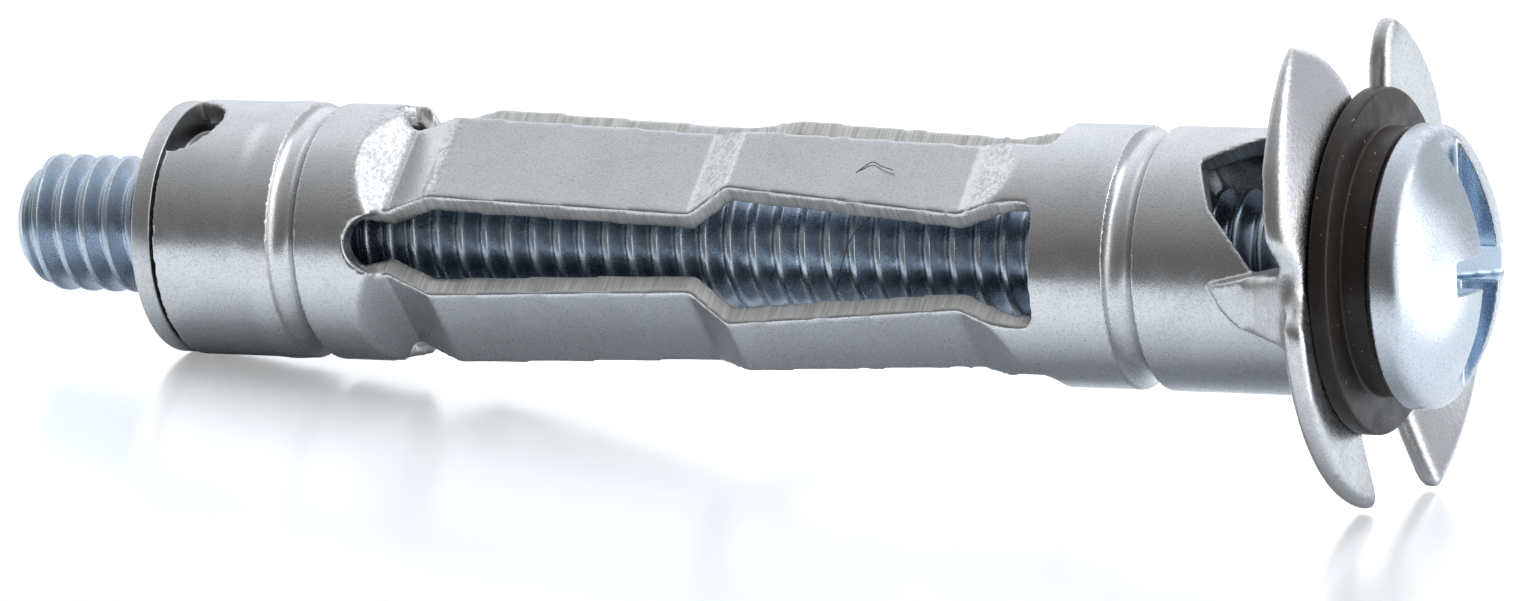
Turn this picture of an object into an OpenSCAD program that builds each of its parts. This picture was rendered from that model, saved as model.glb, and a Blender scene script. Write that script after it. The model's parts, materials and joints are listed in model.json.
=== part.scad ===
// Hollow wall anchor with its machine screw, lying on a flat surface.
// Every piece is drawn standing on the Z axis, far end of the sleeve at station 0,
// and lie_down() then lays the whole anchor along +X with the screw head at +X.
// In a drawn cross-section +Y is the upper side and -X is the front side.

/* [Sleeve] */
// Outside diameter of the tube
sleeve_d = 7.7; // [7.5:0.05:7.8]
// Length from the far end to the face of the flange
sleeve_l = 37.35; // [37:0.05:38]
// Thickness of the sheet
sheet_t = 0.7; // [0.6:0.05:0.75]
// Turn of the four slits about the axis, in degrees
slit_roll = 5; // [0:1:8]

/* [Rolled grooves] */
// Station of the groove that holds the nut
nut_groove_s = 4.24; // [4.1:0.02:4.4]
// Station of the groove next to the flange
neck_groove_s = 31.05; // [30.8:0.05:31.3]
// Width of a groove where it meets the tube
groove_w = 0.95; // [0.8:0.05:1]
// Depth of a groove
groove_h = 0.33; // [0.25:0.01:0.36]
// Height of the bead that the rolling raised beside the nut groove
bead_h = 0.07; // [0.04:0.01:0.1]

/* [Legs] */
// Station where the slits begin, at their narrow end
slit_start = 6.35; // [6.2:0.05:6.6]
// Station where the slits end, at their wide end
slit_end = 28.3; // [28.1:0.05:28.5]
// Width of a slit at its narrow end
slit_w = 1.7; // [1.5:0.05:1.8]
// Width of a leg up to the joggle
leg_w = 3.16; // [3:0.02:3.2]
// Width of a leg just past the joggle, at its narrowest
joggle_w = 2.2; // [2:0.05:2.4]
// Width of a leg near its wide-slit end
root_w = 2.66; // [2.5:0.02:2.8]

/* [Flange] */
// Radius of the upper lobes
lobe_r = 7.1; // [6.9:0.05:7.2]
// How far the middle of the upper lobes' round edge lies above the axis
lobe_lift = 0.3; // [0.2:0.05:0.35]
// Width of the slit between the lobes at the top
top_gap_w = 2.3; // [2:0.1:2.6]
// Width of the slit between the lobes at the bottom
foot_gap_w = 3; // [2.6:0.1:3.2]
// Distance of both slits from the middle, towards the back
gap_shift = 0.8; // [0:0.1:1]
// Bend of the front upper lobe at its rim, backwards is negative
front_top_lean = -0.76; // [-0.8:0.02:-0.6]
// Bend of the back upper lobe at its rim
back_top_lean = 0.12; // [0:0.02:0.3]
// Bend of the front lower lobe at its rim
front_foot_lean = 0.45; // [0.3:0.05:0.6]
// Bend of the back lower lobe at its rim
back_foot_lean = 0.9; // [0.7:0.05:1]

/* [Nut] */
// Thickness of the nut's end plate
plate_t = 0.67; // [0.6:0.01:0.75]
// Diameter of the nut's end plate
plate_d = 7.6; // [7.4:0.05:7.7]
// Open joint between the end plate and the sleeve
plate_gap = 0.08; // [0.05:0.01:0.12]
// Station where the nut ends inside the sleeve
nut_end = 3.4; // [3.2:0.05:3.42]

/* [Screw] */
// Outside diameter of the thread
thread_d = 4.16; // [4.1:0.01:4.17]
// Distance between two turns of the thread
pitch = 0.79375; // [0.79:0.00125:0.8]
// Depth of the thread
thread_depth = 0.44; // [0.4:0.01:0.46]
// Length of the screw under its head
screw_l = 44.5; // [44:0.1:44.9]
// Diameter of the head
head_d = 8.24; // [8:0.02:8.3]
// Height of the head
head_h = 2.4; // [2.3:0.05:2.5]
// Height of the straight rim under the dome
rim_h = 1; // [0.9:0.05:1.1]
// Width of the slot in the head
slot_w = 1.15; // [1:0.05:1.2]

/* [Washer] */
// Diameter of the washer
washer_d = 10.02; // [9.9:0.02:10.1]
// Thickness of the washer's disc
washer_t = 0.56; // [0.5:0.02:0.6]
// Diameter of the raised hub
hub_d = 7.8; // [7.6:0.05:7.9]
// Height of the hub above the disc
hub_h = 0.76; // [0.7:0.02:0.8]
// How far the washer sits above the middle of the sleeve
washer_lift = 0.12; // [0:0.02:0.16]

/* [Hidden] */
$fn = 96;

zinc = [0.72, 0.74, 0.76];
zinc_blue = [0.60, 0.68, 0.76];
brown_plastic = [0.27, 0.23, 0.20];

eps = 0.01;
clear = 20;
sleeve_r = sleeve_d / 2;
bore_r = sleeve_r - sheet_t;
thread_r = thread_d / 2;
tip_r = thread_r - 0.62;
tip_h = 0.65;
running_gap = 0.03;
washer_gap = 0.3;

// Stations along the axis.
washer_s = sleeve_l + 0.02;
hub_s = washer_s + washer_t;
head_s = hub_s + hub_h;
head_top_s = head_s + head_h;
tip_s = head_s - screw_l;
plate_s = -plate_gap - plate_t;
joggle_s = 18.7;
joggle_start_s = 17.4;
neck_s = 7.45;
shoulder_s = 9.1;
root_s = 25.9;
rise_s = 27.4;

// A groove is a ring of circular section pressed into the tube.
groove_arc_r = (pow(groove_w / 2, 2) + pow(groove_h, 2)) / (2 * groove_h);
groove_ring_r = sleeve_r - groove_h + groove_arc_r;
bead_s = 3.1;
bead_arc_r = 1.4;
bead_ring_r = sleeve_r + bead_h - bead_arc_r;

// Side view of a leg: station and distance of its outer face from the axis.
neck_r = 2.9;
shoulder_r = 3.66;
joggle_low_r = 3.2;
joggle_high_r = 3.95;
root_r = 3.3;
leg_line = [
    [slit_start, sleeve_r + eps],
    [neck_s, neck_r + eps],
    [shoulder_s, shoulder_r],
    [joggle_start_s, joggle_low_r],
    [joggle_s, joggle_high_r],
    [root_s, root_r],
    [rise_s, sleeve_r],
    [slit_end, sleeve_r]
];
// Plan view of a leg: station and half of its width. It widens where it leaves the
// far collar and narrows where it enters the near one.
leg_start_w = 4.3;
leg_end_w = 2.2;
leg_end_s = 27.6;
leg_plan = [
    [slit_start, leg_start_w / 2],
    [neck_s - 0.25, leg_w / 2 + 0.08],
    [neck_s + 0.3, leg_w / 2],
    [joggle_start_s, leg_w / 2],
    [joggle_s, joggle_w / 2],
    [root_s, root_w / 2],
    [leg_end_s, leg_end_w / 2],
    [slit_end, leg_end_w / 2]
];
// Radius that the bent legs reach between the two collars, and inside the collars.
leg_reach = 4.07;
collar_reach = sleeve_r - eps;
// Plan view of a slit's wide end: half of its width and the radius of its corners.
wide_half_w = 1.83;
wide_corner_r = 0.5;

// Flange.
bend_r = 0.55;
flange_back_s = sleeve_l - sheet_t;
bend_s = flange_back_s - bend_r;
kink_r = 4.9;
lean_at_r = 6.95;
rim_r = 7.9;
flat_r = 7.4;
flat_shift = 1.6;
front_foot_r = 6.7;
front_foot_shift = 0.6;
front_foot_drop = 0.5;
back_foot_r = 7.53;
foot_cut = 0.35;
front_top_y = 6.68;
front_corner_r = 2.3;
back_top_y = 6.88;
back_corner_r = 1.2;
// Side notch of the flange on its front side, as [away, up].
notch = [[-4.95, 0.15], [-5.25, 0.75], [-5.85, 1.7], [-8, 2.5], [-8, -1.2], [-6.1, -0.75]];

// Tooth: plan and side view, and the opening in the wall that it was cut from.
tooth_plan = [[33.9, 0], [35.9, -0.5], [37, -0.6], [37, 1.6], [36.1, 1.5], [35.3, 1.25],
              [34.75, 1], [34.3, 0.65]];
tooth_side = [[33.9, 3.4], [33.9, 4.02], [36.75, 5.3], [37, 5.3], [37, 3.65], [35.6, 3.3]];
tooth_room = 4;
window_turn = -40;
window_end_s = bend_s + 0.2;
window_plan = [[33.1, -1.19], [33.75, 0.47], [35.3, 2.21], [window_end_s, 2.4],
               [window_end_s, -3.3], [35.5, -2.9], [34.5, -2.26]];

// Round keyways in the far end, one on each side.
keyway_r = 1.3;
keyway_turn = 113;

// Drive of the head: a slot right across it and a tapered cross at its middle.
slot_depth = 1.25;
cross_depth = 1.9;
cross_w = 0.95;
cross_floor_w = 1.2;
cross_mouth_w = 6.2;
cross_over = 1;

// Thread: its crests are narrow flats, and crest_s is the middle of one of them.
crest_w = 0.2;
valley_w = 0.12;
crest_s = 0.64;

// The anchor touches the surface with the rim of the end plate and its two lower lobes.
foot_touch_x = foot_gap_w / 2 - gap_shift + foot_cut + front_foot_shift;
foot_touch_drop = front_foot_drop + sqrt(pow(front_foot_r, 2) - pow(foot_touch_x, 2));
foot_touch_s = flange_back_s + front_foot_lean * (foot_touch_drop - kink_r) / (lean_at_r - kink_r);
tilt = atan((foot_touch_drop - plate_d / 2) / (foot_touch_s - plate_s));

// The origin is on the surface, under the middle of the whole anchor: the back lobes
// reach further than the front ones, and the raised tip further than its axis.
back_reach = 7.2;
front_reach = front_foot_r - front_foot_shift;
middle_y = (back_reach - front_reach) / 2;
middle_s = (tip_s + head_top_s - tip_r * tan(tilt)) / 2;
axis_h = plate_d / 2 * cos(tilt) + (middle_s - plate_s) * sin(tilt);

// Lays the anchor down: its axis along +X, head end raised by the tilt.
module lie_down() {
    translate([0, 0, axis_h])
        rotate([0, -tilt, 0])
            rotate([90, 0, 90])
                translate([-middle_y, 0, -middle_s])
                    children();
}

// Straight tube between two stations.
module tube(from_s, to_s, outer_r, inner_r) {
    translate([0, 0, from_s])
        difference() {
            cylinder(h = to_s - from_s, r = outer_r);
            translate([0, 0, -eps])
                cylinder(h = to_s - from_s + 2 * eps, r = inner_r);
        }
}

// Ring of circular section round the axis.
module ring(s, ring_r, section_r) {
    translate([0, 0, s])
        rotate_extrude()
            translate([ring_r, 0])
                circle(r = section_r);
}

// Plate seen from the side, as an outline of [station, distance] across a width.
module side_cut(outline, width) {
    rotate([90, 0, 0])
        translate([0, 0, -width / 2])
            linear_extrude(height = width)
                polygon([for (p = outline) [p[1], p[0]]]);
}

// Plate seen from outside, as an outline of [station, sideways] that reaches outward.
module plan_cut(outline) {
    rotate([0, 90, 0])
        linear_extrude(height = clear)
            polygon([for (p = outline) [-p[0], p[1]]]);
}

// Points of an arc in a plan view, as [station, sideways].
function arc(s, w, r, from, to) = [for (a = [from : 15 : to]) [s + r * cos(a), w + r * sin(a)]];

// Rolled groove: the ring that is pressed in, and the bulge that it makes inside.
module groove_cut(s) {
    ring(s, groove_ring_r, groove_arc_r);
}

module groove_bulge(s) {
    intersection() {
        ring(s, groove_ring_r, groove_arc_r + sheet_t);
        tube(s - groove_arc_r - sheet_t, s + groove_arc_r + sheet_t, sleeve_r - eps, 1);
    }
}

// Narrow, round end of a slit and the facet that folds each leg inward.
module narrow_end_cut() {
    plan_cut(concat(arc(slit_start + slit_w / 2, 0, slit_w / 2, 90, 270),
                    [[neck_s + 1, -slit_w / 2], [neck_s + 1, slit_w / 2]]));
    rotate([0, 0, 45])
        side_cut([[slit_start, sleeve_r], [neck_s, neck_r], [neck_s + 1, neck_r],
                  [neck_s + 1, clear], [slit_start, clear]], sleeve_d);
}

// Wide end of a slit, with rounded corners.
module wide_end_cut() {
    corner_s = slit_end - wide_corner_r;
    corner_w = wide_half_w - wide_corner_r;
    plan_cut(concat([[root_s, wide_half_w], [root_s, -wide_half_w]],
                    arc(corner_s, -corner_w, wide_corner_r, 270, 360),
                    arc(corner_s, corner_w, wide_corner_r, 0, 90)));
}

// Collar at the nut's end.
module far_collar() {
    difference() {
        union() {
            tube(0, slit_start + slit_w / 2, sleeve_r, bore_r);
            groove_bulge(nut_groove_s);
            difference() {
                ring(bead_s, bead_ring_r, bead_arc_r);
                tube(-clear, clear, bore_r + 0.3, 0.1);
            }
        }
        groove_cut(nut_groove_s);
        for (k = [0 : 3])
            rotate([0, 0, k * 90 - slit_roll])
                narrow_end_cut();
    }
}

// Collar at the flange's end.
module near_collar() {
    difference() {
        union() {
            tube(rise_s, bend_s, sleeve_r, bore_r);
            groove_bulge(neck_groove_s);
        }
        groove_cut(neck_groove_s);
        for (k = [0 : 3])
            rotate([0, 0, k * 90 - slit_roll])
                wide_end_cut();
    }
}

// Space that a leg may fill, widest between the two collars.
module leg_envelope() {
    rotate_extrude()
        polygon([
            [1, slit_start - 1],
            [collar_reach, slit_start - 1],
            [collar_reach, neck_s],
            [leg_reach, neck_s + 1],
            [leg_reach, root_s],
            [collar_reach, root_s + 0.7],
            [collar_reach, slit_end + 0.1],
            [1, slit_end + 0.1]
        ]);
}

// One bent leg on the +X side, before it is turned into place.
module leg() {
    last = len(leg_line) - 1;
    inner_line = [for (i = [last : -1 : 0]) [leg_line[i][0], leg_line[i][1] - sheet_t]];
    other_edge = [for (i = [len(leg_plan) - 1 : -1 : 0]) [leg_plan[i][0], -leg_plan[i][1]]];
    intersection() {
        side_cut(concat(leg_line, inner_line), sleeve_d);
        plan_cut(concat(leg_plan, other_edge));
        leg_envelope();
    }
}

// The four legs between the two collars.
module slit_tube() {
    far_collar();
    near_collar();
    for (k = [0 : 3])
        rotate([0, 0, k * 90 + 45 - slit_roll])
            leg();
}

// Section of a flange lobe: the tube wall bent outward and leaned by lean at the rim.
module lobe_section(lean) {
    rise = lean * (rim_r - kink_r) / (lean_at_r - kink_r);
    difference() {
        polygon([
            [bore_r, bend_s],
            [sleeve_r + bend_r, bend_s],
            [sleeve_r + bend_r, flange_back_s],
            [kink_r, flange_back_s],
            [rim_r, flange_back_s + rise],
            [rim_r, sleeve_l + rise],
            [kink_r, sleeve_l],
            [bore_r + bend_r + sheet_t, sleeve_l],
            [bore_r, bend_s + eps]
        ]);
        translate([sleeve_r + bend_r, bend_s])
            circle(r = bend_r);
    }
    difference() {
        translate([sleeve_r + bend_r, bend_s])
            circle(r = bend_r + sheet_t);
        translate([sleeve_r + bend_r, bend_s])
            circle(r = bend_r);
        translate([sleeve_r + bend_r, bend_s - 3])
            square([3, 6]);
        translate([bore_r - 1, bend_s - 3])
            square([6, 3]);
    }
}

// One lobe, kept within an outline and on its own side of the flange.
module lobe(side, level, lean) {
    intersection() {
        rotate_extrude()
            lobe_section(lean);
        translate([0, 0, bend_s - eps])
            linear_extrude(height = 6)
                intersection() {
                    children();
                    scale([side, level])
                        square([clear, clear]);
                }
    }
}

// Outlines of the upper lobes: round, with the corner at the slit rounded off.
module top_outline(side, edge_x, top_y, corner_r) {
    difference() {
        intersection() {
            translate([0, lobe_lift])
                circle(r = lobe_r);
            translate([flat_shift, 1])
                circle(r = flat_r);
        }
        translate([side > 0 ? -clear + edge_x : edge_x, bore_r + 0.9])
            square([clear, clear]);
        difference() {
            translate([side > 0 ? edge_x : edge_x - corner_r, top_y - corner_r])
                square([corner_r, corner_r + 2]);
            translate([edge_x + side * corner_r, top_y - corner_r])
                circle(r = corner_r);
        }
    }
}

// Outlines of the lower lobes: a curve that ends in a foot with its corner clipped.
module foot_outline(side, edge_x, radius, side_shift, drop) {
    toe_x = edge_x - side_shift;
    toe_y = -drop - sqrt(pow(radius, 2) - pow(toe_x, 2));
    difference() {
        translate([side_shift, -drop])
            circle(r = radius);
        translate([side > 0 ? -clear + edge_x : edge_x, -clear - bore_r])
            square([clear, clear]);
        translate([edge_x, toe_y])
            rotate([0, 0, 45])
                square(sqrt(2) * foot_cut, center = true);
    }
}

// Flange of four lobes, with the side notches where the teeth stand.
module flange() {
    difference() {
        union() {
            lobe(-1, 1, front_top_lean)
                top_outline(-1, gap_shift - top_gap_w / 2, front_top_y, front_corner_r);
            lobe(1, 1, back_top_lean)
                top_outline(1, gap_shift + top_gap_w / 2, back_top_y, back_corner_r);
            lobe(-1, -1, front_foot_lean)
                foot_outline(-1, gap_shift - foot_gap_w / 2, front_foot_r,
                             front_foot_shift, front_foot_drop);
            lobe(1, -1, back_foot_lean)
                foot_outline(1, gap_shift + foot_gap_w / 2, back_foot_r, 0, 0);
        }
        for (turn = [0, 180])
            rotate([0, 0, turn])
                translate([0, 0, bend_s - 1])
                    linear_extrude(height = clear)
                        polygon(notch);
    }
}

// Opening left in the tube wall where a tooth was cut and bent out.
module tooth_window() {
    intersection() {
        rotate([0, 0, window_turn])
            plan_cut(window_plan);
        translate([0, 0, neck_groove_s])
            cylinder(h = clear, r = sleeve_r + 0.6);
    }
}

// Tooth that points back along the tube and grips the wall.
module tooth() {
    intersection() {
        plan_cut(tooth_plan);
        side_cut(tooth_side, tooth_room);
    }
}

// Keyway in the far end of the sleeve.
module keyway() {
    rotate([0, 90, 0])
        cylinder(h = clear, r = keyway_r);
}

module sleeve() {
    color(zinc)
        lie_down() {
            difference() {
                union() {
                    slit_tube();
                    flange();
                }
                for (turn = [0, 180])
                    rotate([0, 0, turn + 180])
                        tooth_window();
                for (turn = [0, 180])
                    rotate([0, 0, turn + keyway_turn])
                        keyway();
            }
            for (turn = [0, 180])
                rotate([0, 0, turn + 180])
                    tooth();
        }
}

module nut() {
    color(zinc)
        lie_down()
            difference() {
                union() {
                    translate([0, 0, plate_s])
                        cylinder(h = plate_t, d = plate_d);
                    translate([0, 0, plate_s])
                        cylinder(h = nut_end - plate_s, r = bore_r - running_gap);
                }
                translate([0, 0, plate_s - 1])
                    cylinder(h = nut_end - plate_s + 2, r = thread_r + running_gap);
            }
}

// Threaded shank. Each turn is drawn as a ring, with the pitch and depth of the real thread.
module shank() {
    valley_r = thread_r - thread_depth;
    half = crest_w / 2;
    fall = (pitch - crest_w - valley_w) / 2;
    first = ceil((tip_s + tip_h - crest_s) / pitch);
    last = floor((head_s - crest_s) / pitch) - 1;
    intersection() {
        rotate_extrude()
            polygon(concat(
                [[0, head_s + eps], [0, tip_s], [valley_r, tip_s]],
                [for (turn = [first : last])
                    let (s = crest_s + turn * pitch)
                        each [[valley_r, s - half - fall], [thread_r, s - half],
                              [thread_r, s + half], [valley_r, s + half + fall]]],
                [[valley_r, head_s + eps]]
            ));
        union() {
            translate([0, 0, tip_s])
                cylinder(h = tip_h, r1 = tip_r, r2 = thread_r + eps);
            translate([0, 0, tip_s + tip_h - eps])
                cylinder(h = screw_l, r = thread_r + eps);
        }
    }
}

// Pan head with its slot and cross.
module head() {
    dome_h = head_h - rim_h;
    dome_r = (pow(head_d / 2, 2) + pow(dome_h, 2)) / (2 * dome_h);
    cross_s = head_top_s - cross_depth;
    difference() {
        union() {
            translate([0, 0, head_s])
                cylinder(h = rim_h, d = head_d);
            intersection() {
                translate([0, 0, head_top_s - dome_r])
                    sphere(r = dome_r);
                translate([0, 0, head_s + rim_h - eps])
                    cylinder(h = dome_h + 1, d = head_d);
            }
        }
        translate([-slot_w / 2, -head_d, head_top_s - slot_depth])
            cube([slot_w, 2 * head_d, 2 * slot_depth]);
        for (turn = [0, 90])
            rotate([0, 0, turn])
                side_cut([[cross_s, -cross_floor_w / 2], [cross_s, cross_floor_w / 2],
                          [head_top_s + cross_over, cross_mouth_w / 2],
                          [head_top_s + cross_over, -cross_mouth_w / 2]], cross_w);
    }
}

module screw() {
    color(zinc_blue)
        lie_down() {
            shank();
            head();
        }
}

module washer() {
    color(brown_plastic)
        lie_down()
            translate([0, washer_lift, 0])
                difference() {
                    union() {
                        translate([0, 0, washer_s])
                            cylinder(h = washer_t, d = washer_d);
                        translate([0, 0, hub_s - eps])
                            cylinder(h = hub_h + eps, d = hub_d);
                    }
                    translate([0, 0, washer_s - 1])
                        cylinder(h = washer_t + hub_h + 2, r = thread_r + washer_gap);
                }
}

sleeve();
nut();
screw();
washer();
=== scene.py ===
"""Looks of a hollow wall anchor with its machine screw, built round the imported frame.

Stations and radii are millimetres. A station is the distance along the anchor's axis from the
far end of the sleeve, and pieces are drawn standing on the Z axis before they are laid down.
"""

from __future__ import annotations

import json
import logging
import math
from dataclasses import dataclass
from enum import Enum

import bmesh
import bpy
import numpy as np
from mathutils import Matrix, Vector


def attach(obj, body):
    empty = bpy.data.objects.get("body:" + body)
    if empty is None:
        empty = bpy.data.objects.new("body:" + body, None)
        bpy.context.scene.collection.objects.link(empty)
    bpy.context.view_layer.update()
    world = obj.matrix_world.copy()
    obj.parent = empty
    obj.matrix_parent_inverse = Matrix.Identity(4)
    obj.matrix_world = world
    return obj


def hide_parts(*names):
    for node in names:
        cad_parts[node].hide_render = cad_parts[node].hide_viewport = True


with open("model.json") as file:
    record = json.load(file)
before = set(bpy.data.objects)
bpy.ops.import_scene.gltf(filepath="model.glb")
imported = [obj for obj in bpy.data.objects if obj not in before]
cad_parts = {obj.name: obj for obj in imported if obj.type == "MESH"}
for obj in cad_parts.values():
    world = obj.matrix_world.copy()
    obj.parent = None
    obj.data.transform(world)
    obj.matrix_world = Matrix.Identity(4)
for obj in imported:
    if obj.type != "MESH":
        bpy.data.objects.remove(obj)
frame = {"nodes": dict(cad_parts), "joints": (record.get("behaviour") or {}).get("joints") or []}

LOG = logging.getLogger("anchor")
Piece = bpy.types.Object
Mesh = bpy.types.Mesh
Shape = bmesh.types.BMesh
Material = bpy.types.Material
Node = bpy.types.Node
Tree = bpy.types.NodeTree
Socket = bpy.types.NodeSocket
Triple = tuple[float, float, float]
Span = tuple[float, float]
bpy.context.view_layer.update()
MM = 0.001
FULL_TURN = 2 * math.pi
# Distances in millimetres that count as nothing, or as one place in a mesh.
TINY = 1e-6
FINE = 1e-5
MERGE = 1e-4
# Station of the underside of the screw's head, where its hinge is.
HEAD_STATION = 38.69
HINGE = next(joint for joint in frame["joints"] if joint["type"] == "hinge")
AXIS = Vector(HINGE["axis"]).normalized()
TILT = math.asin(AXIS.z)


class Body(Enum):
    """Bodies of the frame that the pieces ride on."""

    ANCHOR = "anchor"
    COLLAR = "collar"
    SCREW = "screw"


class Slot(Enum):
    """Material slots of the record."""

    SLEEVE = "sleeve_zinc"
    NUT = "nut_zinc"
    SCREW = "screw_zinc"
    WASHER = "washer_plastic"


class Mask(Enum):
    """Point attributes that the finishes read."""

    SHEARED = "sheared"
    # Worked metal: crazing, and a lightening that is a painted highlight.
    WORKED_AND_HIGHLIGHT = "worked"
    # Slot and cross of the head, which get painted shade.
    RECESS_SHADE = "recess_shade"


# ---- Placing and mesh helpers ----


def frame_matrix() -> Matrix:
    """Returns the matrix from drawn millimetres to row-frame metres."""
    away = Vector((0, 1, 0))
    turn = Matrix((away, AXIS.cross(away), AXIS)).transposed().to_4x4()
    origin = Vector(HINGE["pos_m"]) - AXIS * HEAD_STATION * MM
    return Matrix.Translation(origin) @ turn @ Matrix.Scale(MM, 4)


TO_FRAME = frame_matrix()


def link(name: str, data: bpy.types.ID) -> Piece:
    """Makes an object of its data and links it to the scene."""
    piece = bpy.data.objects.new(name, data)
    bpy.context.scene.collection.objects.link(piece)
    return piece


def object_from(bm: Shape, name: str) -> Piece:
    """Makes a linked object of a bmesh and frees the bmesh.

    Args:
        bm: the finished shape.
        name: name of the new piece.

    Returns:
        The object, at the origin.
    """
    mesh = bpy.data.meshes.new(name)
    bm.to_mesh(mesh)
    bm.free()
    return link(name, mesh)


def modify(piece: Piece, kind: str, **settings: object) -> None:
    """Adds a modifier to a piece and sets its properties by name."""
    modifier = piece.modifiers.new(kind.lower(), kind)
    for name, value in settings.items():
        setattr(modifier, name, value)


def bake_modifiers(piece: Piece) -> None:
    """Replaces a piece's mesh by its modified one and drops the modifiers."""
    graph = bpy.context.evaluated_depsgraph_get()
    graph.update()
    baked = bpy.data.meshes.new_from_object(piece.evaluated_get(graph))
    piece.modifiers.clear()
    piece.data = baked
    baked.name = piece.name


def lay_down(piece: Piece) -> None:
    """Moves a drawn mesh to its place in the row frame and shades it smooth."""
    piece.data.transform(TO_FRAME)
    piece.data.polygons.foreach_set("use_smooth", [True] * len(piece.data.polygons))
    piece.data.update()


def paint(piece: Piece, material: Material) -> None:
    """Gives a piece one material in place of any that it has."""
    piece.data.materials.clear()
    piece.data.materials.append(material)


def per_point(mesh: Mesh, kind: str) -> np.ndarray:
    """Returns the "co" or the "normal" of a mesh's points, one row each."""
    flat = np.empty(len(mesh.vertices) * 3, np.float32)
    mesh.vertices.foreach_get(kind, flat)
    return flat.reshape(-1, 3).astype(float)


def reach_of(points: np.ndarray) -> np.ndarray:
    """Returns the points' distances from the axis, never quite zero."""
    return np.maximum(np.hypot(points[:, 0], points[:, 1]), TINY)


def set_points(mesh: Mesh, points: np.ndarray) -> None:
    """Writes moved points back to a mesh."""
    mesh.vertices.foreach_set("co", points.astype(np.float32).ravel())
    mesh.update()


def smooth_step(low: float, high: float, values: np.ndarray) -> np.ndarray:
    """Returns 0 below low, 1 above high and a smooth rise between."""
    share = np.clip((values - low) / (high - low), 0, 1)
    return share * share * (3 - 2 * share)


def add_mask(mesh: Mesh, mask: Mask, values: np.ndarray) -> None:
    """Stores one value a point under the mask's name."""
    layer = mesh.attributes.new(mask.value, "FLOAT", "POINT")
    layer.data.foreach_set("value", values.astype(np.float32))


def blend_normals(normals: np.ndarray, exact: np.ndarray, share: np.ndarray,
                  agreed: Span = (0.8, 0.95)) -> np.ndarray:
    """Mixes worked-out normals over measured ones.

    Args:
        normals: point normals of the mesh, one row each.
        exact: worked-out unit normals, one row each.
        share: how far each point takes its worked-out normal.
        agreed: cosines between which a measured normal starts to take its worked-out one.

    Returns:
        Unit normals, one row each.
    """
    facing = smooth_step(*agreed, (normals * exact).sum(1))
    mixed = normals + (exact - normals) * (share * facing)[:, None]
    return mixed / np.linalg.norm(mixed, axis=1)[:, None]


def set_normals(mesh: Mesh, normals: np.ndarray) -> None:
    """Gives a laid-down mesh the normals that were worked out while it stood."""
    turn = np.array(TO_FRAME.to_3x3().normalized())
    mesh.normals_split_custom_set_from_vertices((normals @ turn.T).tolist())


def spin_outline(outline: list[Span], steps: int, rise: float = 0) -> Shape:
    """Turns an outline once about the axis.

    Args:
        outline: points of radius and station, in order.
        steps: number of faces round the axis.
        rise: length by which the outline climbs in the turn, which keeps its ends apart.

    Returns:
        The turned shape.
    """
    bm = bmesh.new()
    points = [bm.verts.new((radius, 0, station)) for radius, station in outline]
    for start, end in zip(points, points[1:]):
        bm.edges.new((start, end))
    bmesh.ops.spin(bm, geom=bm.verts[:] + bm.edges[:], cent=(0, 0, 0), axis=(0, 0, 1),
                   dvec=(0, 0, rise / steps), angle=FULL_TURN, steps=steps,
                   use_merge=not rise, use_normal_flip=False, use_duplicate=False)
    return bm


def lathe(outline: list[Span], steps: int) -> Shape:
    """Turns an outline to a closed shape with its normals outward."""
    bm = spin_outline(outline, steps)
    bmesh.ops.remove_doubles(bm, verts=bm.verts, dist=FINE)
    bmesh.ops.recalc_face_normals(bm, faces=bm.faces)
    return bm


def soften(bm: Shape, width: float, sharp_from: float = 30) -> None:
    """Rounds every edge that turns by more than an angle.

    Args:
        bm: the shape.
        width: distance of the rounding from the edge.
        sharp_from: smallest angle of a sharp edge, in degrees.
    """
    limit = math.radians(sharp_from)
    sharp = [edge for edge in bm.edges if edge.is_manifold and edge.calc_face_angle() > limit]
    bmesh.ops.bevel(bm, geom=sharp, offset=width, offset_type="OFFSET", segments=3, profile=0.5,
                    affect="EDGES", material=-1, clamp_overlap=True)


def block(width: float, depth: float, height: float) -> Shape:
    """Returns a block about the origin."""
    bm = bmesh.new()
    bmesh.ops.create_cube(bm, size=1)
    bmesh.ops.scale(bm, vec=(width, depth, height), verts=bm.verts)
    return bm


def arc(centre: Span, radius: float, start: float, end: float, count: int) -> list[Span]:
    """Returns points of an arc, with angles in degrees from the radius direction."""
    angles = [math.radians(start + (end - start) * i / count) for i in range(count + 1)]
    return [(centre[0] + radius * math.cos(angle), centre[1] + radius * math.sin(angle))
            for angle in angles]


# ---- Finishes ----


@dataclass(frozen=True)
class Noise:
    """Settings of a noise texture, and the span of its values that shows."""

    scale: float
    detail: float = 2
    roughness: float = 0.5
    span: Span = (0.35, 0.65)


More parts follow.
